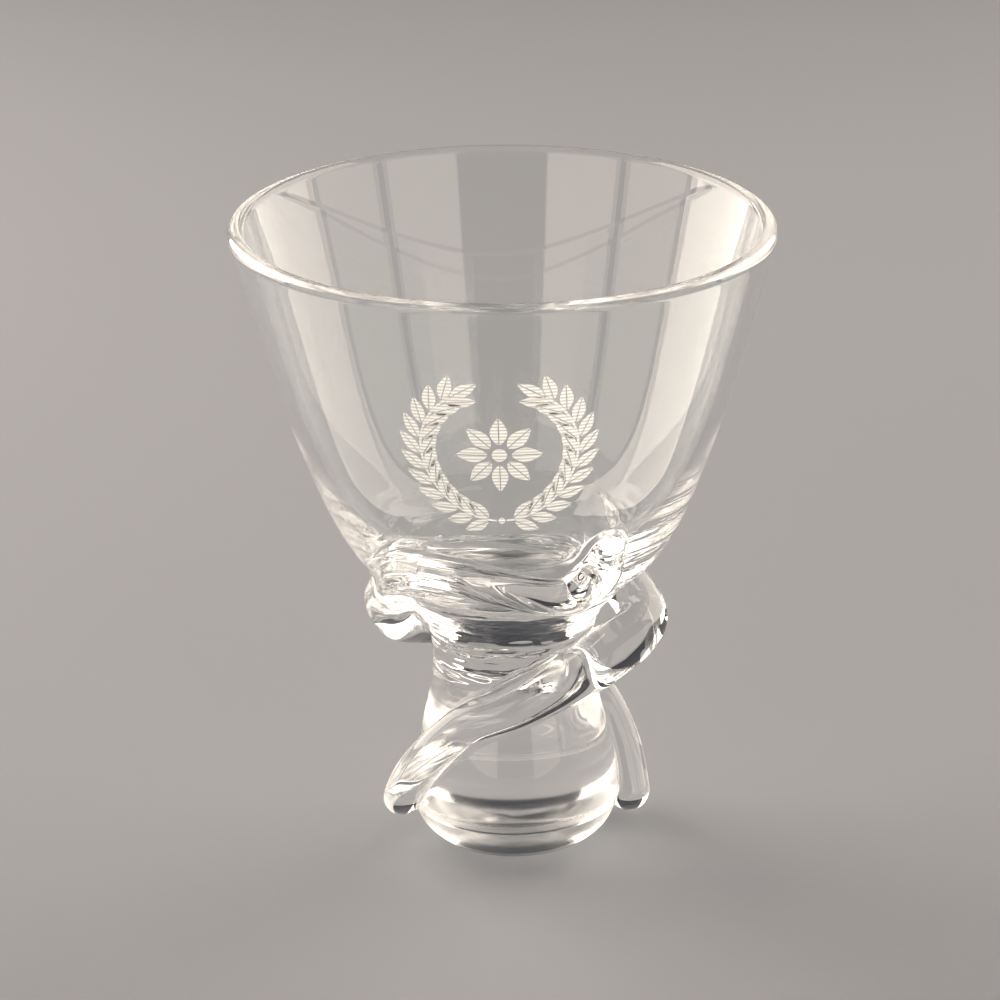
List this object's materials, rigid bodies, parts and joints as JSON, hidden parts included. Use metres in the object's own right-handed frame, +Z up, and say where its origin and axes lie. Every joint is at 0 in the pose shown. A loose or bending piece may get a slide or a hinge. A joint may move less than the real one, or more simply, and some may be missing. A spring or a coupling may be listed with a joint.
{
  "type": "crystal goblet",
  "caption": "Free-standing clear crystal goblet: a flared bowl with a deep solid bottom on a waisted stem and rounded foot, wound with thick applied trails of crystal.",
  "frame": {"origin": "on the goblet's axis, at the middle of the flat ground face that it stands on", "axes": "+Z up along the axis to the rim; -Y is the front, the side that carries the engraving; +X to the right of the front"},
  "size_m": [0.164, 0.164, 0.2],
  "materials": {
    "crystal": "clear colourless lead crystal, fire-polished and glossy, with a ground flat under the foot"
  },
  "bodies": {
    "root": {"foot": "crystal", "stem": "crystal", "bowl": "crystal", "trail_right": "crystal", "trail_left": "crystal"}
  },
  "joints": []
}
